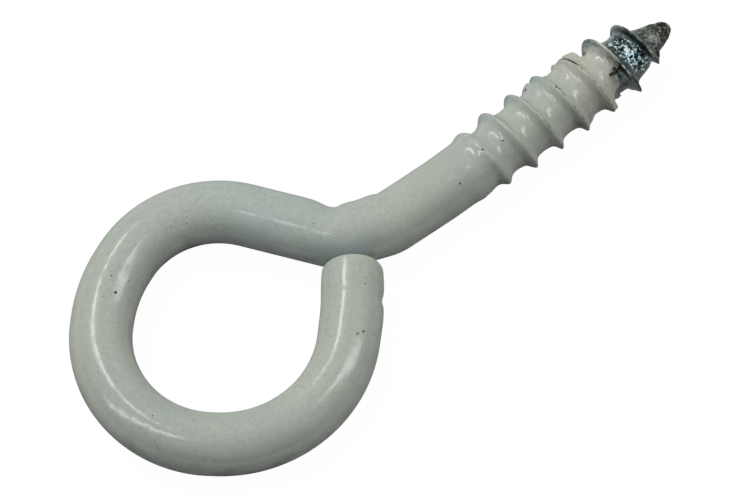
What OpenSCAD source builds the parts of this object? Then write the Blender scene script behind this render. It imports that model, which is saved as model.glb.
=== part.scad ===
// Screw eye: one length of coated steel wire, bent round to an eye at one end and rolled
// to a wood-screw thread at the other. The eye lies flat in the XY plane with its centre at
// the origin, and the screw points along +X.

/* [Wire] */
// Diameter of the coated wire
wire_d = 4.2; // [3:0.1:6]
// Thickness of the coat, which is torn off the tip
coat_t = 0.17; // [0.05:0.01:0.3]

/* [Eye] */
// Mean inside diameter of the eye
eye_d = 11.6; // [9:0.1:24]
// Turn of each of the four strokes that bend the eye, in degrees
stroke_turns = [75, 22.5, 95.5, 85.5]; // [15:0.5:120]
// Radius of each stroke, as a share of the mean radius
stroke_shares = [0.895, 1.265, 0.945, 1.06]; // [0.8:0.005:1.5]
// Straight length between one stroke and the next
stroke_link = 0.4; // [0.3:0.1:2]
// Gap between the cut end and the neck
end_gap = 0.1; // [0.05:0.05:2]
// Rounding of the coat round the cut end
end_round = 0.8; // [0.2:0.1:1.2]

/* [Neck and shank] */
// Straight run from the eye to the neck
neck_run = 5.6; // [2:0.1:12]
// Turn of the two tight neck bends, at the eye and at the shank, in degrees
neck_turns = [32.5, 18]; // [10:0.5:40]
// Inside radius of the neck bends
neck_inside_r = 0.2; // [0.1:0.1:4]
// Straight length between the neck bends
neck_flat = 2.4; // [0.5:0.1:5]
// Straight length of the plain shank
shank_l = 3.6; // [1:0.1:30]
// Slight set of the shank against the thread, left from bending the eye, in degrees
shank_set = 2.4; // [0.5:0.1:5]
// Centreline radius over which the shank takes its set
set_r = 15; // [5:1:40]

/* [Thread] */
// Length from the first trace of the thread to the tip
thread_l = 18.7; // [12:0.1:40]
// Distance from one turn to the next
pitch = 2.2; // [1.6:0.1:3]
// Diameter over the coated crests
crest_d = 5.1; // [4.4:0.1:7]
// Diameter at the coated roots
root_d = 3.8; // [2.8:0.1:5]
// Width of a crest, as a share of the pitch
crest_share = 0.08; // [0.04:0.01:0.3]
// Length over which the thread rises out of the shank
lead_in = 4.4; // [2:0.1:8]
// Length of the bare steel end, where the coat is torn off
bare_l = 5.35; // [2:0.05:10]
// Length over which the coat's torn edge steps down to the steel
torn_l = 0.6; // [0.2:0.1:2]

/* [Tip] */
// Length of the cone that the roots narrow to
cone_l = 4.65; // [2:0.05:8]
// Length over which the ridge runs out into the cone, up to the nose
run_out = 2.2; // [1:0.1:4]
// Radius of the blunt nose
nose_r = 0.7; // [0.3:0.05:1.4]

/* [Hidden] */
$fn = 72;

wire_r = wire_d / 2;
neck_r = wire_r + neck_inside_r;
eye_r = eye_d / 2 + wire_r;

// The bends are a hair thinner than the straight lengths and reach this far into them
seam = 0.01;
lap = 0.12;

// Straight sides round the thread, and rows of corners along one pitch of it
sides = 36;
rows = 8;
// How far the rows crowd towards the crest, as a share of the pitch
row_crowd = 0.08;
// Straight collar of wire behind the thread, how far the thread's solid reaches into it,
// and how far it stays under its surface there
collar_l = 0.5;
root_in = 0.3;
root_under = 0.015;
// The roots sink between these shares of the lead-in, after the ridge has begun to rise
sink_from = 0.42;
sink_to = 0.82;
nose_rings = 4;

// The wire's bends in order from the thread to the cut end, each
// [straight length before it, centreline radius, turn], with a turn to the right negative
STROKES = 3;
bends = concat(
    [
        [collar_l, set_r, -shank_set],
        [shank_l, neck_r, -neck_turns[1]],
        [neck_flat, neck_r, -neck_turns[0]],
    ],
    [
        for (i = [0 : len(stroke_turns) - 1])
            [i == 0 ? neck_run : stroke_link, eye_r * stroke_shares[i], stroke_turns[i]]
    ]
);

// A pose on the wire is [x, y, heading]
function ahead(pose, l) = [pose.x + l * cos(pose.z), pose.y + l * sin(pose.z), pose.z];
function aside(pose, l) = [pose.x - l * sin(pose.z), pose.y + l * cos(pose.z), pose.z];
function round_bend(pose, r, turn) =
    let (chord = 2 * r * sin(abs(turn) / 2), to = ahead([pose.x, pose.y, pose.z + turn / 2], chord))
    [to.x, to.y, pose.z + turn];
function past(pose, bend) = round_bend(ahead(pose, bend[0]), bend[1], bend[2]);
function pose_before(i) = i == 0 ? [0, 0, 180] : past(pose_before(i - 1), bends[i - 1]);
function bend_centre(i) = aside(ahead(poses[i], bends[i][0]), sign(bends[i][2]) * bends[i][1]);

poses = [for (i = [0 : len(bends)]) pose_before(i)];
end_pose = poses[len(bends)];

// Centre of the eye: the mean of its strokes' centres, each as heavy as its turn
stroke_centres = [for (i = [STROKES : len(bends) - 1]) let (c = bend_centre(i)) [c.x, c.y]];
eye_at = stroke_turns * stroke_centres / (stroke_turns * [for (t = stroke_turns) 1]);

// The cut end runs on straight until it stands the gap away from the neck bend
neck_bend = bends[STROKES - 1];
neck_middle = round_bend(ahead(poses[STROKES - 1], neck_bend[0]), neck_bend[1], neck_bend[2] / 2);
to_neck = [neck_middle.x - end_pose.x, neck_middle.y - end_pose.y] * [cos(end_pose.z), sin(end_pose.z)];
end_l = to_neck - wire_r - end_gap;

// A smooth step from 0 at a to 1 at b
function ease(a, b, x) = let (t = min(1, max(0, (x - a) / (b - a)))) t * t * (3 - 2 * t);

// Radius of the threaded end at distance x from its start, turn turns round from +Y towards +Z.
// The grooves are half ellipses between narrow crests, and the ridge climbs one pitch a turn.
cone_at = thread_l - cone_l;
nose_at = thread_l - nose_r;
bare_at = thread_l - bare_l;
function thread_r(x, turn) =
    let (
        bare = coat_t * ease(bare_at - torn_l / 2, bare_at + torn_l / 2, x),
        coned = min(1, max(0, (x - cone_at) / (nose_at - cone_at))),
        sunk = wire_r + (root_d / 2 - wire_r) * ease(lead_in * sink_from, lead_in * sink_to, x),
        risen = wire_r + (crest_d / 2 - wire_r) * ease(0, lead_in, x),
        root = (sunk - bare) * (1 - coned) + nose_r * coned,
        ridge = (risen - sunk) * (1 - ease(nose_at - run_out, nose_at, x)),
        turns_in = x / pitch - turn,
        off_crest = 2 * abs(turns_in - round(turns_in)),
        across = min(1, (1 - off_crest) / (1 - crest_share)),
        groove = sqrt(1 - across * across)
    )
    root + ridge * (1 - groove);

function thread_point(x, turn, r) = [x, r * cos(360 * turn), r * sin(360 * turn)];

// Corners of the threaded end lie in columns along the screw. In column i, row k follows the
// ridge round: it lies where the helix passes, k rows along, and from one turn to the next
// the count goes up by the rows of a pitch. A row before the start or past the nose stops there.
function row_x(i, k) =
    let (along = k / rows)
    pitch * (along - row_crowd * sin(360 * along) + i / sides);
first_row = -rows;
last_row = ceil(rows * (nose_at / pitch + 1));
column = last_row - first_row + 1;
start_ring = sides * column;
nose_ring = start_ring + sides;
nose_tip = nose_ring + sides * nose_rings;

function corner(i, k) =
    let (x = row_x(i, k))
    x <= 0 ? start_ring + i : x >= nose_at ? nose_ring + i : i * column + k - first_row;

// The four corners between two neighbouring columns, by row
function patch(i, k) =
    let (wraps = i + 1 == sides, next = wraps ? 0 : i + 1, shift = wraps ? rows : 0)
    [
        corner(i, k),
        corner(i, k + 1),
        corner(next, min(last_row, k + 1 + shift)),
        corner(next, min(last_row, k + shift)),
    ];
function halves(p) = [[p[0], p[1], p[2]], [p[0], p[2], p[3]]];
function is_flat(t) = t[0] == t[1] || t[1] == t[2] || t[2] == t[0];

module threaded_end() {
    helix = [
        for (i = [0 : sides - 1], k = [first_row : last_row])
            let (x = row_x(i, k))
            thread_point(x, i / sides, thread_r(x, i / sides))
    ];
    start = [for (i = [0 : sides - 1]) thread_point(-root_in, i / sides, wire_r - root_under)];
    nose = [
        for (j = [0 : nose_rings - 1], i = [0 : sides - 1])
            let (a = 90 * j / nose_rings)
            thread_point(nose_at + nose_r * sin(a), i / sides, nose_r * cos(a))
    ];
    tip = [[thread_l, 0, 0]];
    skin = [
        for (i = [0 : sides - 1], k = [first_row : last_row - 1], half = halves(patch(i, k)))
            if (!is_flat(half)) half
    ];
    start_cap = [[for (i = [0 : sides - 1]) start_ring + i]];
    nose_skin = [
        for (j = [0 : nose_rings - 2], i = [0 : sides - 1])
            let (at = nose_ring + j * sides, next = (i + 1) % sides)
            each halves([at + i, at + sides + i, at + sides + next, at + next])
    ];
    nose_cap = [
        for (i = [0 : sides - 1])
            [nose_tip - sides + i, nose_tip, nose_tip - sides + (i + 1) % sides]
    ];
    polyhedron(concat(helix, start, nose, tip), concat(skin, start_cap, nose_skin, nose_cap));
}

module straight(l) {
    rotate([0, 90, 0]) cylinder(r = wire_r, h = l);
}

// A bend that starts at the origin heading along +X
module bend(r, turn) {
    lap_turn = lap / r * 180 / PI;
    translate([0, sign(turn) * r, 0])
        rotate((turn > 0 ? -90 : 90 + turn) - lap_turn)
            rotate_extrude(angle = abs(turn) + 2 * lap_turn) translate([r, 0]) circle(wire_r - seam);
}

module cut_end() {
    straight(end_l - end_round);
    translate([end_l - end_round, 0, 0]) rotate([0, 90, 0]) rotate_extrude() {
        square([wire_r - end_round, end_round]);
        intersection() {
            translate([wire_r - end_round, 0]) circle(end_round);
            square([wire_r, end_round]);
        }
    }
}

module at_pose(pose) {
    translate([pose.x, pose.y, 0]) rotate(pose.z) children();
}

module screw_eye() {
    color("gainsboro") translate([-eye_at.x, -eye_at.y, 0]) {
        threaded_end();
        for (i = [0 : len(bends) - 1]) at_pose(poses[i]) {
            straight(bends[i][0]);
            translate([bends[i][0], 0, 0]) bend(bends[i][1], bends[i][2]);
        }
        at_pose(end_pose) cut_end();
    }
}

screw_eye();
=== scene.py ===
"""Screw eye: white coated wire bent to an eye, its wood-screw thread torn bare at the tip."""

import math

import bpy
from mathutils import Matrix, Vector


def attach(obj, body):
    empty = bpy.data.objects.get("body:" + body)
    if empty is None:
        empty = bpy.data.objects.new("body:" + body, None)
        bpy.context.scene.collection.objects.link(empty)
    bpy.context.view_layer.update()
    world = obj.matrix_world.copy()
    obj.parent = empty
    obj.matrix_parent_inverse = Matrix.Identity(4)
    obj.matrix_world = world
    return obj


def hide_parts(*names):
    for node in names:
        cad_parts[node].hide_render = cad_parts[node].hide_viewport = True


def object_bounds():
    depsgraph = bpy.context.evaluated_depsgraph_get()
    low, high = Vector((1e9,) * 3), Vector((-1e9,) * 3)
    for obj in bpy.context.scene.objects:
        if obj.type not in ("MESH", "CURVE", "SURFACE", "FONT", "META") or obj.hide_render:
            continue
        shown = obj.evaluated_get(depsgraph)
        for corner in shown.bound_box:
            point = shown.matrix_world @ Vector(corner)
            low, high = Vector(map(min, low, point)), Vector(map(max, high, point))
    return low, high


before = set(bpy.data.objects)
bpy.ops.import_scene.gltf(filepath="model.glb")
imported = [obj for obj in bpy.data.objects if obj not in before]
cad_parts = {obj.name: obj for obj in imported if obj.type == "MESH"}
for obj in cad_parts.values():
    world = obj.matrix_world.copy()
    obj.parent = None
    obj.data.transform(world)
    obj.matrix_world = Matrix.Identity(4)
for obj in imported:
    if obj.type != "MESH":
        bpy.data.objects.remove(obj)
cad_low, cad_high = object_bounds()

MM = 0.001

# The wire, in millimetres and degrees
WIRE_R = 2.1
COAT_T = 0.17
EYE_R = 7.9
NECK_R = 2.3

# The cut end: its gap to the neck, its rounded rim, the lean of its face and the bend just behind it
END_GAP = 0.1
END_ROUND = 0.3
END_SKEW = 0.35
END_SLANT = 0.2
LEAN_REACH = 4
END_BEND = 0.22
BEND_REACH = 3.5

# The centreline runs on past the cut end by this much, so that the leaning face has a place on it
END_SPARE = 0.6

# Each bend from the thread to the cut end: straight length before it, centreline radius, turn
NECK_BENDS = [(0.5, 15, -2.4), (3.6, NECK_R, -18), (2.4, NECK_R, -32.5)]
EYE_BENDS = [
    (5.6, EYE_R * 0.895, 75),
    (0.4, EYE_R * 1.265, 22.5),
    (0.4, EYE_R * 0.945, 95.5),
    (0.4, EYE_R * 1.06, 85.5),
]

# The thread, in millimetres along the screw from its first trace
THREAD_L = 18.7
PITCH = 2.2
CREST_R = 2.55
ROOT_R = 1.9
LEAD_IN = 4.4
SINK_FROM = 0.42 * LEAD_IN
SINK_TO = 0.82 * LEAD_IN
CONE_AT = 14.05
NOSE_R = 0.7
NOSE_AT = THREAD_L - NOSE_R
RUN_OUT = 2.2

# Widths of the crests, the first ones wider, and how far they lag behind the true helix, in turns
STEEL_CREST = 0.16
COAT_CREST = 0.25
FIRST_CREST = 0.15
FIRST_REACH = (2, 6)
THREAD_LAG = 0.03
LEAST_LAG_TURN = 0.05
LAG_FADE = (11.5, 13.5)
FRONT_LAG = 0.09
FRONT_TURN = 0.3

# Where the coat is torn off: the edge's place along the thread at some turns round the screw.
# A turn is counted from +Y, or from the outside of the eye, towards the top.
TORN_EDGE = [
    (0.0, 13.4),
    (0.06, 13.5),
    (0.12, 13.54),
    (0.16, 13.5),
    (0.22, 13.58),
    (0.295, 13.68),
    (0.312, 13.5),
    (0.325, 13.28),
    (0.345, 13.12),
    (0.365, 13.14),
    (0.4, 13.06),
    (0.44, 12.8),
    (0.465, 12.7),
    (0.49, 12.76),
    (0.52, 12.92),
    (0.55, 13.08),
    (0.6, 12.95),
    (0.64, 12.8),
    (0.75, 12.95),
    (0.88, 13.2),
    (1.0, 13.4),
]
TORN_LOW = 12.0
TORN_HIGH = 14.0

# The ragged bites in that edge, the lip of coat that turns in behind it, and the steel's start under it
BITES = 5.0
BITE_DEPTH = 0.35
LIP_L = 0.6
LIP_SINK = 0.02
STEEL_FROM = 11.2

# Coat that has lifted beside the tear, a cap above and a flake below, with its reach along and round
CAP_R = 2.44
CAP_SLOPE = 0.2
CAP_MIDDLE = 11.8
CAP_REACH = (11.2, 12.13)
CAP_TURN = 0.04
CAP_WIDTH = 0.07
FLAKE_R = 2.45
FLAKE_REACH = (12.0, 12.42)
FLAKE_TURNS = (0.5, 0.6)
FLAKE_EDGE = 0.02
LIFT_RISE = 0.25
LIFT_BREAK = 0.07

# The hairline crack in the coat: its place at turn 0, its run per turn, and how it ends across and along
CRACK_AT = 10.97
CRACK_RUN = 1.7
CRACK_SIDE = (0.08, 0.15)
CRACK_END = (0.18, 0.22)
CRACK_DEPTH = 0.1

# Unevenness of the coat all over, and of the bare steel near its nose
WAVES = 0.02
STEEL_ROUGH = 0.05

# Where the bare steel stands prouder than the thread gives: how much, and its middle and reach
TALLER_CRESTS = 0.25
TALLER_AT = (15.6, 2.4)
SWELL = 0.06
SWELL_AT = (15.3, 1.8)
SWELL_BELOW = 0.12
BELOW_TURN = 0.55
BELOW_WIDTH = 0.15
NOSE_SWELL = 0.06
NOSE_SWELL_RISE = (14.5, 16.5)
NOSE_SWELL_FALL = (17.5, 18.2)

# Dents: place, turn, reach along the wire, width round it in turns, depth, which is less than 0 for a lump.
# The wire's places count from the cut end, the thread's and the steel's from the first trace of the thread.
WIRE_DENTS = [
    (49.35, 0.06, 0.75, 0.1, 0.2),
    (51.6, 0.06, 0.5, 0.1, -0.05),
    (53.2, 0.06, 0.8, 0.1, -0.1),
    (0.0, 0.02, 0.8, 0.1, 0.12),
    (2.05, 0.04, 0.35, 0.06, 0.2),
    (3.6, 0.04, 0.8, 0.06, -0.04),
]
THREAD_DENTS = [
    (2.4, 0.47, 0.35, 0.1, 0.06),
    (2.9, 0.05, 0.15, 0.07, 0.1),
    (3.2, 0.05, 0.4, 0.07, 0.12),
    (3.3, 0.55, 0.9, 0.1, 0.1),
    (5.18, 0.55, 0.15, 0.08, -0.1),
    (7.95, 0.03, 0.3, 0.08, -0.36),
    (8.28, 0.03, 0.2, 0.08, -0.32),
    (8.6, 0.04, 0.35, 0.06, -0.06),
    (9.48, 0.04, 0.22, 0.07, -0.17),
    (10.05, 0.04, 0.4, 0.07, -0.2),
    (10.48, 0.04, 0.18, 0.07, -0.4),
    (10.38, 0.55, 0.3, 0.08, -0.2),
    (11.25, 0.08, 0.3, 0.07, -0.05),
    (12.46, 0.0, 0.24, 0.07, 0.36),
    (12.64, 0.0, 0.12, 0.07, 0.18),
    (12.62, 0.55, 0.15, 0.06, 0.32),
]
STEEL_DENTS = [
    (13.9, 0.04, 0.22, 0.1, 0.12),
    (14.12, 0.54, 0.15, 0.1, -0.24),
    (14.85, 0.04, 0.2, 0.1, -0.1),
    (15.6, 0.04, 0.3, 0.1, 0.05),
    (16.1, 0.54, 0.16, 0.1, 0.17),
    (16.4, 0.54, 0.3, 0.1, 0.07),
    (16.85, 0.54, 0.12, 0.1, -0.2),
    (18.45, 0.54, 0.25, 0.12, 0.13),
]

# Specks, and chips at the torn edge: place, counted as for the dents, turn, radius
WIRE_SPECKS = [
    (31.83, 0.302, 0.14),
    (58.91, 0.332, 0.09),
    (38.55, 0.332, 0.06),
    (48.83, 0.271, 0.06),
    (32.88, 0.255, 0.07),
    (21.76, 0.252, 0.06),
    (5.03, 0.174, 0.11),
    (1.92, 0.187, 0.07),
    (3.51, 0.306, 0.05),
]
THREAD_SPECKS = [
    (2.47, 0.263, 0.09),
    (4.03, 0.28, 0.09),
    (9.12, 0.229, 0.1),
    (9.21, 0.238, 0.1),
    (7.8, 0.08, 0.13),
    (12.75, 0.33, 0.13),
    (12.9, 0.331, 0.17),
    (13.05, 0.334, 0.18),
    (13.22, 0.335, 0.16),
    (13.2, 0.314, 0.16),
    (13.24, 0.325, 0.12),
]

# Fine grains in the coat: cells per millimetre, a grain's radius in cells, how rare it is, strength
GRAINS = [(0.8, 0.1, 0.55, 1.0), (2.2, 0.17, 0.4, 0.75), (4.6, 0.34, 0.2, 0.45)]

WHITE = (1, 1, 1, 1)

# Colours of the coat, from clean to dirty and torn, with painted shade and a painted highlight among them
COOL_WHITE = (0.435, 0.485, 0.438, 1)
WARM_WHITE = (0.478, 0.51, 0.446, 1)
CREAM = (0.52, 0.525, 0.44, 1)
ROSE = (0.54, 0.5, 0.475, 1)
BEND_WHITE = (0.455, 0.535, 0.51, 1)
# Painted shade on the neck beside the cut end, bluish grey
NECK_END_SHADE = (0.27, 0.36, 0.375, 1)
FLANK_BLUE = (0.34, 0.42, 0.44, 1)
THIN_TEAL = (0.14, 0.235, 0.225, 1)
THIN_DOTS = (0.05, 0.075, 0.07, 1)
GROOVE_DARK = (0.02, 0.04, 0.038, 1)
GRAIN_GREY = (0.24, 0.26, 0.22, 1)
# Dirt with painted shade, on the shank side of the crests
DIRT_AND_SHADE = (0.17, 0.19, 0.15, 1)
# Painted shade along the crests where they show at the upper outline
OUTLINE_SHADE = (0.06, 0.068, 0.062, 1)
WORN_GREY = (0.13, 0.145, 0.115, 1)
SMUDGE_GREY = (0.09, 0.1, 0.097, 1)
FRAYED_BLUE = (0.11, 0.14, 0.15, 1)
# Painted shade and a painted highlight along the sixth crest
CREST_SHADE = (0.03, 0.034, 0.032, 1)
COAT_CREST_HIGHLIGHT = (0.62, 0.62, 0.53, 1)
PEPPER = (0.12, 0.13, 0.105, 1)
TORN_CREAM = (0.55, 0.53, 0.44, 1)
SPECK_DARK = (0.03, 0.028, 0.025, 1)

# Colours of the bare steel and its nose, with painted glints, painted highlights and painted shade among
# them
STEEL_DARK = (0.12, 0.16, 0.152, 1)
STEEL_LIGHT = (0.25, 0.32, 0.31, 1)
GLINT_GROUND = (0.03, 0.06, 0.07, 1)
GLINT_TEAL = (0.07, 0.18, 0.22, 1)
# Painted glints, where the steel's facets would catch the light
GLINT_BLUE = (0.5, 0.75, 0.85, 1)
GLINT_WHITE = (0.9, 1, 1, 1)
# Painted shade on the underside of the steel
UNDERSIDE_SHADE = (0.03, 0.044, 0.044, 1)
PIT_DARK = (0.006, 0.012, 0.014, 1)
# Painted shade along the steel's crests and upper outline, and a painted highlight on its crests
STEEL_EDGE_SHADE = (0.008, 0.009, 0.008, 1)
STEEL_CREST_HIGHLIGHT = (0.8, 0.78, 0.66, 1)
SOOT = (0.006, 0.006, 0.006, 1)
NOSE_DARK = (0.07, 0.085, 0.075, 1)
NOSE_LIGHT = (0.34, 0.38, 0.34, 1)
NOSE_PITS = (0.035, 0.04, 0.034, 1)
# Pale flecks of the nose, partly painted glints
NOSE_FLECKS_AND_GLINTS = (0.5, 0.5, 0.42, 1)
# Painted shade at the foot of the nose, beside the last crest
NOSE_FOOT_SHADE = (0.03, 0.04, 0.036, 1)
NOSE_END = (0.012, 0.01, 0.007, 1)
# Painted shade on the underside of the nose
NOSE_UNDERSIDE_SHADE = (0.012, 0.014, 0.012, 1)

# The studio: distances in millimetres, and each lamp's lower end, upper end, width and radiance.
# An end is given in degrees round from +X and above the floor, the width in degrees.
FLOOR_HALF = 3000
FLOOR_GREY = (0.045, 0.045, 0.045, 1)
FLOOR_GLOW = 0.975
ROOM_GREY = (0.015, 0.016, 0.016, 1)
LAMP_DISTANCE = 800
STREAK_LAMPS = {
    "left lamp": ((161, 27), (-165, 76), 7, 6.0),
    "back lamp, upper": ((107, 50), (106, 77), 8, 7.5),
    "back lamp, lower": ((83, 38), (107, 51), 8, 7.5),
    "right lamp": ((-31, 35), (-11, 70), 11, 5.2),
}
SOFT_LAMPS = {
    "soft box": ((88, 25), (88, 82), 60, 1.36),
    "left fill": ((150, 1), (150, 12), 60, 1.35),
    "right fill": ((-46, 1), (-46, 12), 60, 3.7),
}

# The photograph's camera
IMAGE_W = 750
CAMERA_AZIMUTH = 40.27
CAMERA_ELEVATION = 67.04
CAMERA_ROLL = 2.32
CAMERA_DISTANCE = 380
CAMERA_AIM = (11.34, -1.86, 0)
CAMERA_NEAR = 10
PIXELS_PER_MM = 15.186
SENSOR_W = 36


class Value:
    """A socket to reckon with: each operation adds the Math or Vector Math node that it needs."""

    def __init__(self, nodes, socket):
        self.nodes = nodes
        self.socket = socket

    def is_vector(self):
        return self.socket.type in ("VECTOR", "RGBA")

    def math(self, operation, *others):
        """The result of a Math node, with this value as its first input."""
        sockets = dict(enumerate((self, *others)))
        return self.nodes.add("ShaderNodeMath", sockets, operation=operation)

    def vector(self, operation, other):
        """The result of a Vector Math node, with this value as its first input."""
        key = "Scale" if operation == "SCALE" else 1
        return self.nodes.add("ShaderNodeVectorMath", {0: self, key: other}, operation=operation)

    def join(self, operation, other):
        if self.is_vector():
            return self.vector(operation, other)
        return self.math(operation, other)

    def __add__(self, other):
        return self.join("ADD", other)

    def __radd__(self, other):
        return self + other

    def __sub__(self, other):
        return self.join("SUBTRACT", other)

    def __rsub__(self, other):
        return self.nodes.number(other) - self

    def __mul__(self, other):
        if self.is_vector():
            return self.vector("SCALE", other)
        return self.math("MULTIPLY", other)

    def __rmul__(self, other):
        return self * other

    def __truediv__(self, other):
        return self.math("DIVIDE", other)

    def __rtruediv__(self, other):
        return self.nodes.number(other) / self

    def __neg__(self):
        return self * -1

    def __abs__(self):
        return self.math("ABSOLUTE")

    def __pow__(self, power):
        return self.math("POWER", power)

    def most(self, other):
        """The greater of two values."""
        return self.math("MAXIMUM", other)

    def ease(self, start, end):
        """A smooth step from 0 at start to 1 at end."""
        sockets = {"Value": self, "From Min": start, "From Max": end}
        return self.nodes.add("ShaderNodeMapRange", sockets, interpolation_type="SMOOTHSTEP")

    def ramp(self, start, end, low=0, high=1):
        """A straight step from low at start to high at end, level outside them."""
        sockets = {"Value": self, "From Min": start, "From Max": end, "To Min": low, "To Max": high}
        return self.nodes.add("ShaderNodeMapRange", sockets, clamp=True)

    def hill(self, middle, reach):
        """1 at the middle, falling smoothly to 0 at the reach on either side."""
        return 1 - abs(self - middle).ease(0, reach)

    def parts(self):
        """The x, y and z of a vector."""
        return [self.nodes.add("ShaderNodeSeparateXYZ", {0: self}, out=axis) for axis in "XYZ"]

    def beside(self, name):
        """Another output of the node that this value comes from."""
        return Value(self.nodes, Nodes.pick(self.socket.node.outputs, name))


class Nodes:
    """A node tree, of a material or of geometry, that is written as expressions."""

    def __init__(self, tree):
        self.tree = tree

    def add(self, kind, sockets=None, out=0, **settings):
        """Adds a node, gives it its settings and then its sockets, and returns one of its outputs."""
        node = self.tree.nodes.new(kind)
        for name, setting in settings.items():
            if name == "curve":
                self.set_curve(node.mapping, setting)
            else:
                setattr(node, name, setting)
        for key, value in (sockets or {}).items():
            socket = self.pick(node.inputs, key)
            if isinstance(value, Value):
                self.tree.links.new(value.socket, socket)
            else:
                socket.default_value = value
        if not node.outputs:
            return None
        return Value(self, self.pick(node.outputs, out))

    @staticmethod
    def pick(sockets, key):
        if isinstance(key, int):
            return sockets[key]
        return next(s for s in sockets if s.name == key and s.enabled)

    @staticmethod
    def set_curve(mapping, points):
        line = mapping.curves[0]
        while len(line.points) < len(points):
            line.points.new(0.5, 0.5)
        for point, place in zip(line.points, points):
            point.location = place
            point.handle_type = "VECTOR"
        mapping.update()

    def number(self, value):
        return self.add("ShaderNodeMath", {0: value, 1: 0}, operation="ADD")

    def point(self, x, y, z):
        return self.add("ShaderNodeCombineXYZ", {0: x, 1: y, 2: z})

    def noise(self, place, scale, detail=2):
        return self.add("ShaderNodeTexNoise", {"Vector": place, "Scale": scale, "Detail": detail})

    def mix(self, share, first, second):
        """A colour between the first and the second."""
        sockets = {"Factor": share, "A": first, "B": second}
        return self.add("ShaderNodeMix", sockets, out="Result", data_type="RGBA")

    def layers(self, color, layers):
        """The colour under each of these layers in turn, which are a share and a colour."""
        for share, over in layers:
            color = self.mix(share, color, over)
        return color


# The wire's centreline

def towards(heading):
    return Vector((math.cos(heading), math.sin(heading)))


def wire_route(step=0.1):
    """Points along the wire from the cut end to the tip, and the length from the end to the thread."""
    at = Vector((0, 0))
    heading = math.pi
    points = [at]
    centres = []
    middles = []
    turns = []
    for straight, radius, degrees in NECK_BENDS + EYE_BENDS:
        start = at + straight * towards(heading)
        count = math.ceil(straight / step)
        points += [at.lerp(start, i / count) for i in range(1, count + 1)]
        turn = math.radians(degrees)
        side = heading + math.copysign(math.pi / 2, turn)
        centre = start + radius * towards(side)
        count = math.ceil(abs(turn) * radius / step)
        points += [centre - radius * towards(side + turn * i / count) for i in range(1, count + 1)]
        at = points[-1]
        heading += turn
        centres.append(centre)
        middles.append(centre - radius * towards(side + turn / 2))
        turns.append(turn)
    neck = len(NECK_BENDS)
    end_l = (middles[neck - 1] - at).dot(towards(heading)) - WIRE_R - END_GAP + END_SPARE
    count = math.ceil(end_l / step)
    points += [at + end_l * i / count * towards(heading) for i in range(1, count + 1)]
    weighed = [centre * turn for centre, turn in zip(centres[neck:], turns[neck:])]
    eye = sum(weighed, Vector((0, 0))) / sum(turns[neck:])
    wire_l = sum((b - a).length for a, b in zip(points, points[1:])) - END_SPARE
    points = [p - eye for p in reversed(points)]
    tip = points[-1] + Vector((THREAD_L, 0))
    return points + [tip], wire_l


ROUTE, WIRE_L = wire_route()


def route_object(name):
    """The centreline as a curve object, in metres."""
    curve = bpy.data.curves.new(name, "CURVE")
    curve.dimensions = "3D"
    spline = curve.splines.new("POLY")
    spline.points.add(len(ROUTE) - 1)
    for point, place in zip(spline.points, ROUTE):
        point.co = (place.x * MM, place.y * MM, 0, 1)
    piece = bpy.data.objects.new(name, curve)
    bpy.context.scene.collection.objects.link(piece)
    return piece


# The run of the thread, for shapes and materials alike

def crest_lag(x, turn, coated, front):
    """How far the crests lag behind the true helix: round the coated thread, and in front."""
    lower = 0.5 - 0.5 * ((turn - LEAST_LAG_TURN) * math.tau).math("COSINE")
    facing = ((turn - FRONT_TURN) * math.tau).math("COSINE")
    return (1 + lower) * (1 - x.ease(*LAG_FADE)) * coated + facing * front


def past_crest(x, turn):
    """How far a place lies past the nearest crest, in turns, and its count of turns along the thread."""
    turns_in = x / PITCH - turn + crest_lag(x, turn, THREAD_LAG, FRONT_LAG)
    return turns_in - turns_in.math("ROUND"), turns_in


def crack_share(x, turn):
    """1 in the hairline crack that runs along one crest of the coat, 0 outside it."""
    off = abs(x - turn * CRACK_RUN - CRACK_AT)
    return (1 - off.ease(*CRACK_SIDE)) * (1 - turn.ease(*CRACK_END))


# The shape: a tube of rows along the wire, whose rows and radius follow the thread and the tears

THREAD_SIZES = {
    "Crest Radius": CREST_R,
    "Root Radius": ROOT_R,
    "Pitch": PITCH,
    "Coat": COAT_T,
    "Bites": BITES,
    "Bite Depth": BITE_DEPTH,
    "Lag": THREAD_LAG,
    "Front Lag": FRONT_LAG,
}


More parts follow.
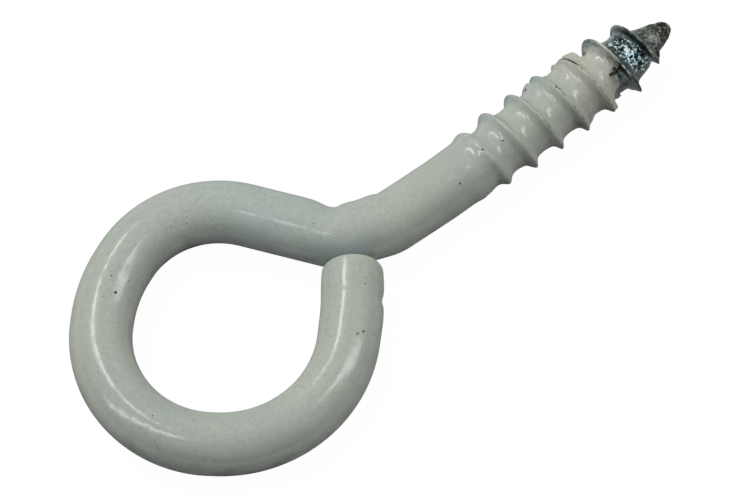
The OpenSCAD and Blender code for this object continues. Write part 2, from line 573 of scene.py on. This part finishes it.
class Sweep(Nodes):
    """A geometry tree that sweeps a tube along the wire."""

    def __init__(self, name, sizes, columns, rows):
        super().__init__(bpy.data.node_groups.new(name, "GeometryNodeTree"))
        face = self.tree.interface
        face.new_socket("Geometry", in_out="INPUT", socket_type="NodeSocketGeometry")
        face.new_socket("Geometry", in_out="OUTPUT", socket_type="NodeSocketGeometry")
        self.given = self.tree.nodes.new("NodeGroupInput")
        self.inputs = {}
        for size, value in sizes.items():
            socket = face.new_socket(size, in_out="INPUT", socket_type="NodeSocketFloat")
            socket.default_value = value
            self.inputs[socket.identifier] = value
        self.route = Value(self, self.given.outputs["Geometry"])
        shape = {"Vertices": columns, "Side Segments": rows, "Radius": 1.0, "Depth": 1.0}
        self.tube = self.add("GeometryNodeMeshCylinder", shape, out="Mesh", fill_type="TRIANGLE_FAN")
        self.rim = self.tube.beside("UV Map")
        x, y, z = self.add("GeometryNodeInputPosition").parts()
        self.row = (z + 0.5) * rows
        self.turn = (y.math("ARCTAN2", x) / math.tau).math("FRACT")
        self.off_axis = (x * x + y * y).math("GREATER_THAN", 0.01)
        self.cosine = x
        self.sine = y

    def size(self, name):
        return Value(self, self.given.outputs[name])

    def torn_edge(self):
        """Place of the coat's torn edge along the thread at each turn, with its ragged bites."""
        reach = TORN_HIGH - TORN_LOW
        points = [(turn, (place - TORN_LOW) / reach) for turn, place in TORN_EDGE]
        edge = self.add("ShaderNodeFloatCurve", {"Value": self.turn}, curve=points) * reach + TORN_LOW
        round_wire = self.point(self.cosine, self.sine, 0)
        bites = self.noise(round_wire, self.size("Bites"), detail=3) - 0.5
        return edge + bites * self.size("Bite Depth")

    def near(self, turn, width):
        """1 at a turn round the wire, falling smoothly to 0 over the width on either side."""
        aside = ((self.turn - turn) * math.tau).math("COSINE")
        return ((aside - 1) / (width * math.tau) ** 2).math("EXPONENT")

    def thread(self, x, under, width, gain=1):
        """Radius of the thread at x, this far under the coated surface, with crests of this width."""
        sunk = WIRE_R + (self.size("Root Radius") - WIRE_R) * x.ease(SINK_FROM, SINK_TO)
        risen = WIRE_R + (self.size("Crest Radius") - WIRE_R) * x.ease(0, LEAD_IN)
        coned = x.ramp(CONE_AT, NOSE_AT)
        root = (sunk - under) * (1 - coned) + NOSE_R * coned
        ridge = (risen - sunk) * (1 - x.ease(NOSE_AT - RUN_OUT, NOSE_AT))
        lag = crest_lag(x, self.turn, self.size("Lag"), self.size("Front Lag"))
        turns_in = x / self.size("Pitch") - self.turn + lag
        off_crest = 2 * abs(turns_in - turns_in.math("ROUND")) / width
        off_crest = off_crest * off_crest
        sharp = 0.6 * (-off_crest).math("EXPONENT")
        broad = 0.4 / (1 + off_crest * 0.42)
        return root + ridge * (sharp + broad) * gain

    def dents(self, length, dents):
        """How far these smooth dents, taken together, lower the surface."""
        depths = []
        for place, turn, reach, width, depth in dents:
            along = (-((length - place) / reach) ** 2).math("EXPONENT")
            depths.append(self.near(turn, width) * along * depth)
        return sum(depths[1:], depths[0])

    def lifted(self, outer, x, radius, reach, around):
        """The coat lifted to a radius over a reach along the thread, where it breaks off short."""
        start, end = reach
        along = x.ease(start, start + LIFT_RISE) * (1 - x.ease(end - LIFT_BREAK, end))
        return outer + (radius - outer).most(0) * along * around

    def finish(self, piece, length, radius, stored, material, skew=0, aside=0):
        """Lays the tube's corners round the wire, stores what the material reads, and bakes the mesh."""
        mesh = self.add("GeometryNodeStoreNamedAttribute", {
            "Geometry": self.tube,
            "Name": "wire",
            "Value": self.point(self.rim.parts()[0], length / (WIRE_L + THREAD_L), 0),
        }, data_type="FLOAT2", domain="CORNER")
        for name, value in stored.items():
            mesh = self.add("GeometryNodeStoreNamedAttribute", {
                "Geometry": mesh,
                "Name": name,
                "Value": value,
            }, data_type="FLOAT", domain="POINT")
        sample = {"Curves": self.route, "Length": (length - skew + END_SPARE) * MM}
        centre = self.add("GeometryNodeSampleCurve", sample, out="Position", mode="LENGTH")
        left = self.point(0, 0, 1).vector("CROSS_PRODUCT", centre.beside("Tangent"))
        arm = left * (self.cosine * radius + aside) + self.point(0, 0, self.sine * radius)
        place = centre + arm * MM
        mesh = self.add("GeometryNodeSetPosition", {"Geometry": mesh, "Position": place})
        mesh = self.add("GeometryNodeSetShadeSmooth", {"Geometry": mesh})
        mesh = self.add("GeometryNodeRealizeInstances", {"Geometry": mesh})
        mesh = self.add("GeometryNodeSetMaterial", {"Geometry": mesh, "Material": material})
        self.add("NodeGroupOutput", {"Geometry": mesh})
        return self.baked(piece)

    def baked(self, piece):
        """The swept mesh as a plain piece, in place of the curve that it was swept along."""
        modifier = piece.modifiers.new("Sweep", "NODES")
        modifier.node_group = self.tree
        for identifier, value in self.inputs.items():
            modifier[identifier] = value
        graph = bpy.context.evaluated_depsgraph_get()
        mesh = bpy.data.meshes.new_from_object(piece.evaluated_get(graph))
        name = piece.name
        piece.modifiers.remove(modifier)
        bpy.data.objects.remove(piece)
        made = bpy.data.objects.new(name, mesh)
        mesh.name = name
        bpy.context.scene.collection.objects.link(made)
        return made


def white_coat():
    """The coated wire from its cut end to the torn edge, with the lip of coat that ends there."""
    columns = 168
    round_rows, wire_rows, thread_rows, rim_rows, lip_rows = 12, 230, 240, 5, 8
    thread_row = round_rows + wire_rows
    rim_row = thread_row + thread_rows
    lip_row = rim_row + rim_rows
    rows = lip_row + lip_rows
    sweep = Sweep("coat sweep", {**THREAD_SIZES, "Waves": WAVES}, columns, rows)
    row = sweep.row
    edge = sweep.torn_edge()

    quarter = row.ramp(0, round_rows, 0, math.pi / 2)
    rounded = END_ROUND * (1 - quarter.math("COSINE"))
    wire = row.ramp(round_rows, thread_row, 0, WIRE_L - END_ROUND)
    along_thread = row.ramp(thread_row, rim_row) * edge
    lip = row.ramp(lip_row, rows, 0, LIP_L)
    length = rounded + wire + along_thread - lip
    x = length - WIRE_L

    coated = sweep.thread(x, 0, COAT_CREST + FIRST_CREST * (1 - x.ease(*FIRST_REACH)))
    steel = sweep.thread(x, sweep.size("Coat"), STEEL_CREST) - LIP_SINK
    end_round = END_ROUND * (1 - quarter.math("SINE"))
    waves = 0.6 + sweep.noise(sweep.point(length / 3, sweep.cosine, sweep.sine), 0.9, detail=1)
    dents = sweep.dents(length, WIRE_DENTS) + sweep.dents(x, THREAD_DENTS)
    crack = crack_share(x, sweep.turn) * CRACK_DEPTH
    outer = coated - end_round - waves * sweep.size("Waves") - dents - crack
    first, last = FLAKE_TURNS
    flake = sweep.turn.ease(first, first + FLAKE_EDGE) * (1 - sweep.turn.ease(last - FLAKE_EDGE, last))
    outer = sweep.lifted(outer, x, FLAKE_R, FLAKE_REACH, flake)
    cap = CAP_R + (CAP_MIDDLE - x) * CAP_SLOPE
    outer = sweep.lifted(outer, x, cap, CAP_REACH, sweep.near(CAP_TURN, CAP_WIDTH))
    inward = row.ramp(rim_row, lip_row)
    radius = (outer + (steel - outer) * inward) * sweep.off_axis

    skew = (sweep.sine * END_SKEW + sweep.cosine * END_SLANT) * (1 - length.ease(0, LEAN_REACH))
    aside = (length.ease(0, BEND_REACH) - 1) * END_BEND
    stored = {"torn": x - edge + lip}
    return sweep.finish(route_object("white_coat"), length, radius, stored, coat_material(), skew, aside)


def steel_tip():
    """The bare end of the wire, from just under the torn coat to the blunt nose."""
    columns = 200
    thread_rows, nose_rows = 170, 20
    rows = thread_rows + nose_rows
    sweep = Sweep("steel sweep", {**THREAD_SIZES, "Roughness": STEEL_ROUGH}, columns, rows)
    quarter = sweep.row.ramp(thread_rows, rows, 0, math.pi / 2)
    along = sweep.row.ramp(0, thread_rows, STEEL_FROM, NOSE_AT)
    x = along + NOSE_R * quarter.math("SINE")
    nose = quarter.math("COSINE")

    place = sweep.point(x, sweep.cosine * 2, sweep.sine * 2)
    rough = sweep.noise(place, 3.0, detail=3) * sweep.size("Roughness") * x.ease(CONE_AT, NOSE_AT - 1)
    crests = sweep.thread(x, sweep.size("Coat"), STEEL_CREST, 1 + TALLER_CRESTS * x.hill(*TALLER_AT))
    swell = x.hill(*SWELL_AT) * (SWELL + SWELL_BELOW * sweep.near(BELOW_TURN, BELOW_WIDTH))
    swell = swell + NOSE_SWELL * x.ease(*NOSE_SWELL_RISE) * (1 - x.ease(*NOSE_SWELL_FALL))
    outer = crests + swell - rough - sweep.dents(x, STEEL_DENTS)
    radius = outer * nose * sweep.off_axis
    stored = {"bared": x - sweep.torn_edge()}
    return sweep.finish(route_object("steel_tip"), x + WIRE_L, radius, stored, steel_material())


# Materials

# Where the coat's tints, wear, dirt and painted shade lie along the thread: from none to full, or from full
# to none
CREAM_FROM = (8.5, 11.5)
ROSE_FROM = (12.2, 13.4)
DIRT_AND_SHADE_FROM = (1, 3)
BLUE_FROM = (3, 4.5)
BLUE_TO = (9.5, 10.5)
OUTLINE_SHADE_FROM = (5, 7)
WORN_FROM = (5.5, 7.5)
WORN_TO = (12.2, 12.6)
PEEL_FROM = (5, 8)
GRAINS_TO = (-6, -1)

# The same for places with a middle and a reach, and the count of the crest whose coat is thin
THIN_CREST = 6
DARK_GROOVE = (12.55, 0.36)
GLOSSY_GROOVE = (7.8, 1.6)
PALE_BEND = (45 - WIRE_L, 12)
# Where the neck is painted with the shade of the cut end
END_SHADE_AT = (50.6 - WIRE_L, 3.2)
DULL_SPOT = (2.3 - WIRE_L, 0.25)

# Where the looks of the bare steel change: the first two in turns along the thread
GLINTS_AT = (6.55, 0.53)
SEVENTH_CREST = (6.6, 6.7)
PITS_TO = (15.2, 15.8)
DULL_FROM = (15.9, 16.4)
NOSE_FOOT_TO = (16.3, 17)
NOSE_END_FROM = (17.2, 18.0)


def new_material(name):
    material = bpy.data.materials.new(name)
    material.use_nodes = True
    material.node_tree.nodes.clear()
    return material, Nodes(material.node_tree)


def on_wire(nodes):
    """Turn round the wire, place along the thread and the surface's own place in millimetres."""
    wire = nodes.add("ShaderNodeUVMap", out="UV", uv_map="wire")
    turn, along = wire.parts()[:2]
    x = along * (WIRE_L + THREAD_L) - WIRE_L
    place = nodes.add("ShaderNodeTexCoord", out="Object") * (1 / MM)
    return turn, x, place


def top_share(turn):
    """1 where the crests show at the upper outline, 0 elsewhere."""
    return (turn * math.tau).math("COSINE").ease(0.86, 0.97)


def coat_specks(nodes, turn, x, place):
    """1 in the crack, the larger specks and the chips, 0 outside them."""
    uneven = 0.55 + 0.9 * nodes.noise(place, 5.0, detail=2)
    round_wire = turn * (math.tau * WIRE_R)
    specks = [(at - WIRE_L, at_turn, size) for at, at_turn, size in WIRE_SPECKS] + THREAD_SPECKS
    speck = crack_share(x, turn)
    for at, at_turn, size in specks:
        off = ((x - at) ** 2 + (round_wire - at_turn * math.tau * WIRE_R) ** 2).math("SQRT")
        speck = speck.most(1 - (off * uneven).ease(size * 0.5, size))
    return speck


def coat_pepper(nodes, x, place):
    """1 in the fine dark grains of the coat, which lie thicker in some places, 0 between them."""
    pepper = nodes.number(0)
    for scale, size, rare, strength in GRAINS:
        cells = {"Vector": place, "Scale": scale, "Randomness": 1.0}
        distance = nodes.add("ShaderNodeTexVoronoi", cells, out="Distance")
        chance = distance.beside("Color").parts()[0]
        grains = (1 - distance.ease(size * 0.4, size)) * chance.ease(rare, 1) * strength
        pepper = pepper.most(grains)
    thick = nodes.noise(place, 0.5, detail=1).ease(0.35, 0.65)
    return pepper * ((0.4 + 0.6 * thick) * (1 - x.ease(*GRAINS_TO) * 0.5))


def coat_color(nodes, turn, x, place, cloud, speck):
    """The coat's colour: tints along the wire, painted shade beside the cut end, dirt with painted shade,
    wear, painted shade and a painted highlight along the crests, then the grains and specks.
    """
    torn = nodes.add("ShaderNodeAttribute", out="Fac", attribute_name="torn")
    grain = nodes.noise(place, 3.0, detail=3)
    blotch = nodes.noise(place, 1.7, detail=3)
    dots = nodes.noise(place, 3.6, detail=3).ease(0.5, 0.58)
    past, turns_in = past_crest(x, turn)
    off_thin = abs(turns_in - THIN_CREST)

    cream = x.ease(*CREAM_FROM)
    rose = x.ease(*ROSE_FROM)
    thin = (1 - off_thin.ease(0.1, 0.34)) * (1 - turn.ease(0.1, 0.22))
    groove = x.hill(*DARK_GROOVE) * turn.hill(0.04, 0.09)
    bend = x.hill(*PALE_BEND)
    # Painted shade on the neck where the cut end lies against it
    end_shade = x.hill(*END_SHADE_AT) * turn.hill(0.42, 0.14)
    # Dirt with painted shade on the shank side of each crest, round the lower side of the thread
    dirt_and_shade = past.hill(-0.1, 0.2) * turn.hill(0.46, 0.15)
    dirt_and_shade = dirt_and_shade * (0.4 + 0.6 * blotch.ease(0.35, 0.6)) * x.ease(*DIRT_AND_SHADE_FROM)
    bluish = past.hill(-0.12, 0.2) * (1 - turn.ease(0.08, 0.2))
    bluish = bluish * x.ease(*BLUE_FROM) * (1 - x.ease(*BLUE_TO))
    # Painted shade along the crests where they show at the upper outline
    outline_shade = (1 - abs(past).ease(0.03, 0.1)) * top_share(turn) * x.ease(*OUTLINE_SHADE_FROM)
    worn = (1 - abs(past - 0.02).ease(0.012, 0.038)) * dots
    worn = worn * x.ease(*WORN_FROM) * (1 - x.ease(*WORN_TO))
    smudge = torn.ease(-0.85, -0.25) * (0.5 + 0.5 * blotch.ease(0.44, 0.56)) * turn.hill(0.29, 0.16)
    frayed = torn.ease(-0.42, -0.05) * blotch.ease(0.42, 0.54) * turn.hill(0.45, 0.13)
    ragged = blotch.ease(0.35, 0.5) * (1 - off_thin.ease(0.2, 0.3))
    # Painted shade just before the sixth crest, and a painted highlight on it
    shaded = past.hill(-0.06, 0.055) * turn.hill(0.13, 0.09) * ragged
    coat_crest_highlight = (1 - abs(past).ease(0.012, 0.04)) * turn.hill(0.19, 0.08) * ragged

    return nodes.layers(nodes.mix(cloud.ease(0.35, 0.65), COOL_WHITE, WARM_WHITE), [
        (cream * 0.8, CREAM),
        (rose * 0.7, ROSE),
        (thin * 0.8, THIN_TEAL),
        (thin * dots * 0.5, THIN_DOTS),
        (groove * 0.95, GROOVE_DARK),
        (bend * 0.6, BEND_WHITE),
        (end_shade * 0.75, NECK_END_SHADE),
        (grain.ease(0.3, 0.7) * 0.16, GRAIN_GREY),
        (dirt_and_shade * 0.5, DIRT_AND_SHADE),
        (bluish * 0.6, FLANK_BLUE),
        (outline_shade * 0.8, OUTLINE_SHADE),
        (worn * 0.8, WORN_GREY),
        (smudge * 0.9, SMUDGE_GREY),
        (frayed * 0.8, FRAYED_BLUE),
        (shaded * 0.9, CREST_SHADE),
        (coat_crest_highlight, COAT_CREST_HIGHLIGHT),
        (coat_pepper(nodes, x, place), PEPPER),
        (torn.ease(-0.02, 0.01) * 0.8, TORN_CREAM),
        (speck, SPECK_DARK),
    ])


def coat_material():
    """White coat: a matt body with a thin gloss, which is stronger in some places."""
    material, nodes = new_material("white coat")
    turn, x, place = on_wire(nodes)
    cloud = nodes.noise(place, 0.12, detail=3)
    speck = coat_specks(nodes, turn, x, place)
    color = coat_color(nodes, turn, x, place, cloud, speck)

    peel = nodes.noise(place, 1.6, detail=2)
    peel = peel + nodes.noise(place, 3.4, detail=1) * x.ease(*PEEL_FROM) * 0.6
    relief = {"Height": peel - speck * 0.4, "Strength": 0.08, "Distance": 0.2 * MM}
    normal = nodes.add("ShaderNodeBump", relief)
    body = nodes.add("ShaderNodeBsdfPrincipled", {
        "Base Color": color,
        "Roughness": 0.5,
        "Specular IOR Level": 0.0,
        "Normal": normal,
    })
    gloss = nodes.add("ShaderNodeBsdfPrincipled", {
        "Base Color": WHITE,
        "Metallic": 1.0,
        "Roughness": 0.15 + cloud * 0.05 + speck * 0.3,
        "Normal": normal,
    })
    shine = nodes.noise(place, 0.9, detail=3) + x.hill(*GLOSSY_GROOVE) * 0.25
    dull_spot = x.hill(*DULL_SPOT) * turn.hill(0.294, 0.06)
    share = (0.012 + 0.036 * shine.ease(0.3, 0.55)) * (1 - dull_spot * 0.85)
    surface = nodes.add("ShaderNodeMixShader", {0: share, 1: body, 2: gloss})
    nodes.add("ShaderNodeOutputMaterial", {"Surface": surface})
    return material


def steel_material():
    """Bare steel: painted glints in a groove between crests with painted shade and highlights, painted
    shade below, soot beside the coat and a dull, pitted nose.
    """
    material, nodes = new_material("bare steel")
    turn, x, place = on_wire(nodes)
    bared = nodes.add("ShaderNodeAttribute", out="Fac", attribute_name="bared")
    past, turns_in = past_crest(x, turn)
    fine = nodes.noise(place, 5.0, detail=2)
    flecks = nodes.noise(place, 4.6, detail=4)
    pits = nodes.noise(place, 3.4, detail=3)
    coarse = nodes.noise(place, 1.8, detail=2)

    # The lower side of the steel, painted with shade and given less metal and more roughness
    lower = turn.ease(0.34, 0.48)
    zone = turns_in.hill(*GLINTS_AT) * turn.hill(0.3, 0.27)
    # Painted glints in the groove between the sixth and seventh crests
    glint = (flecks * 0.6 + fine * 0.4 + zone * 0.12).ease(0.575, 0.615) * zone.ease(0.1, 0.4)
    pitted = zone.ease(0.1, 0.5).most(lower * (1 - x.ease(*PITS_TO)))
    dull = x.ease(*DULL_FROM)
    still = 1 - x.ease(NOSE_AT - RUN_OUT + 0.3, NOSE_AT - 0.8)
    seventh = turns_in.ease(*SEVENTH_CREST)
    # A painted highlight along the crests, in patches round the screw
    lit = turn.hill(0.17, 0.06).most(turn.hill(0.32, 0.08))
    crest = (1 - abs(past).ease(0.012, 0.036)) * lit.ease(0.1, 0.5) * flecks.ease(0.44, 0.54) * still
    crest = crest * (1 - seventh * (1 - coarse.ease(0.45, 0.52)))
    # Painted shade just before the crests, on the fins and along the upper outline
    before = past.hill(-0.07, 0.06) * turn.ease(0.26, 0.31).most(seventh)
    fin = past.hill(0, 0.07) * turn.ease(0.36, 0.41)
    edge = before.most(fin).most(past.hill(0, 0.12) * top_share(turn)) * still
    soot = (1 - bared.ease(0.05, 0.45)) * (flecks + (1 - bared.ease(0, 0.1)) * 0.12).ease(0.56, 0.6)

    mottle = (coarse * 0.7 + fine * 0.3).ease(0.4, 0.6)
    nose_mottle = (coarse * 0.6 + flecks * 0.4).ease(0.42, 0.58)
    # The nose: mottled, with pale flecks that are partly painted glints, and painted shade at its foot and
    # underside
    nose = nodes.layers(nodes.mix(nose_mottle, NOSE_DARK, NOSE_LIGHT), [
        (pits.ease(0.5, 0.58) * 0.6, NOSE_PITS),
        (fine.ease(0.56, 0.63) * 0.85, NOSE_FLECKS_AND_GLINTS),
        ((1 - x.ease(*NOSE_FOOT_TO)) * 0.35, NOSE_FOOT_SHADE),
        (x.ease(*NOSE_END_FROM) * pits.ease(0.34, 0.48) * 0.92, NOSE_END),
        (lower * 0.6, NOSE_UNDERSIDE_SHADE),
    ])
    color = nodes.layers(nodes.mix(mottle, STEEL_DARK, STEEL_LIGHT), [
        (zone * 0.85, nodes.mix(coarse.ease(0.45, 0.55), GLINT_GROUND, GLINT_TEAL)),
        (lower * 0.8, UNDERSIDE_SHADE),
        (glint, nodes.mix(coarse.ease(0.4, 0.5), GLINT_BLUE, GLINT_WHITE)),
        (pits.ease(0.54, 0.58) * pitted, PIT_DARK),
        (dull, nose),
        (edge * 0.85, STEEL_EDGE_SHADE),
        (crest * 0.9, STEEL_CREST_HIGHLIGHT),
        (soot, SOOT),
    ])

    metal = 0.85 * (1 - dull * 0.7) * (1 - soot * 0.6) * (1 - lower * 0.6)
    relief = {"Height": fine, "Strength": 0.6, "Distance": 0.12 * MM}
    surface = nodes.add("ShaderNodeBsdfPrincipled", {
        "Base Color": color,
        "Metallic": metal * (1 - glint.most(crest) * 0.6),
        "Roughness": 0.32 + dull * 0.3 + lower * (1 - dull) * 0.2,
        "Specular IOR Level": 0.25,
        "Normal": nodes.add("ShaderNodeBump", relief),
    })
    nodes.add("ShaderNodeOutputMaterial", {"Surface": surface})
    return material


# Studio

def floor_material():
    """A pale floor that shows white and keeps a soft shadow, but throws little light back."""
    material, nodes = new_material("pale floor")
    seen = nodes.add("ShaderNodeLightPath", out="Is Camera Ray")
    white = seen.most(seen.beside("Is Glossy Ray")).most(seen.beside("Is Transmission Ray"))
    paper = nodes.add("ShaderNodeBsdfDiffuse", {"Color": FLOOR_GREY})
    glow = nodes.add("ShaderNodeEmission", {"Color": WHITE, "Strength": white * FLOOR_GLOW})
    both = nodes.add("ShaderNodeAddShader", {0: paper, 1: glow})
    nodes.add("ShaderNodeOutputMaterial", {"Surface": both})
    return material


def floor():
    half = FLOOR_HALF * MM
    z = cad_low.z
    corners = [(-half, -half, z), (half, -half, z), (half, half, z), (-half, half, z)]
    mesh = bpy.data.meshes.new("floor")
    mesh.from_pydata(corners, [], [(0, 1, 2, 3)])
    mesh.materials.append(floor_material())
    piece = bpy.data.objects.new("floor", mesh)
    bpy.context.scene.collection.objects.link(piece)


def aloft(azimuth, elevation):
    """The way from the object to a place in the studio, in degrees from +X and above the floor."""
    turn = math.radians(azimuth)
    rise = math.radians(elevation)
    return Vector((math.cos(turn) * math.cos(rise), math.sin(turn) * math.cos(rise), math.sin(rise)))


def strip_lamp(name, lower, upper, width, radiance):
    """A strip lamp between two places in the studio that faces the object, this wide in degrees."""
    away = LAMP_DISTANCE * MM
    low = aloft(*lower)
    high = aloft(*upper)
    back = (low + high).normalized()
    long = (high - low).normalized()
    across = long.cross(back)
    lamp = bpy.data.lights.new(name, "AREA")
    lamp.shape = "RECTANGLE"
    lamp.size = 2 * away * math.tan(math.radians(width) / 2)
    lamp.size_y = 2 * away * math.tan(low.angle(high) / 2)
    lamp.energy = radiance * math.pi * lamp.size * lamp.size_y
    piece = bpy.data.objects.new(name, lamp)
    turned = Matrix((across, long, back)).transposed().to_4x4()
    piece.matrix_world = Matrix.Translation(Vector(CAMERA_AIM) * MM + back * away) @ turned
    piece.visible_camera = False
    bpy.context.scene.collection.objects.link(piece)
    return piece


def studio():
    for name, lamp in STREAK_LAMPS.items():
        strip_lamp(name, *lamp)
    for name, lamp in SOFT_LAMPS.items():
        strip_lamp(name, *lamp).visible_glossy = False
    world = bpy.data.worlds.new("studio")
    world.use_nodes = True
    world.node_tree.nodes.clear()
    nodes = Nodes(world.node_tree)
    room = nodes.add("ShaderNodeBackground", {"Color": ROOM_GREY, "Strength": 1.0})
    nodes.add("ShaderNodeOutputWorld", {"Surface": room})
    bpy.context.scene.world = world
    bpy.context.scene.view_settings.view_transform = "Standard"


def camera():
    azimuth = math.radians(CAMERA_AZIMUTH)
    elevation = math.radians(CAMERA_ELEVATION)
    ahead = Vector((math.sin(azimuth), math.cos(azimuth), 0))
    right = Vector((math.cos(azimuth), -math.sin(azimuth), 0))
    up = ahead * math.sin(elevation) + Vector((0, 0, math.cos(elevation)))
    back = Vector((0, 0, math.sin(elevation))) - ahead * math.cos(elevation)
    turned = Matrix.Rotation(math.radians(CAMERA_ROLL), 4, "Z")
    lens = bpy.data.cameras.new("camera")
    lens.sensor_width = SENSOR_W
    lens.lens = SENSOR_W * PIXELS_PER_MM * CAMERA_DISTANCE / IMAGE_W
    lens.clip_start = CAMERA_NEAR * MM
    piece = bpy.data.objects.new("camera", lens)
    basis = Matrix((right, up, back)).transposed().to_4x4() @ turned
    place = (Vector(CAMERA_AIM) + back * CAMERA_DISTANCE) * MM
    piece.matrix_world = Matrix.Translation(place) @ basis
    bpy.context.scene.collection.objects.link(piece)
    bpy.context.scene.camera = piece


coat = white_coat()
steel = steel_tip()
for piece, slot in ((coat, "white_coat"), (steel, "bare_steel")):
    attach(piece, "root")
    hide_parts("screw_eye")
floor()
studio()
camera()
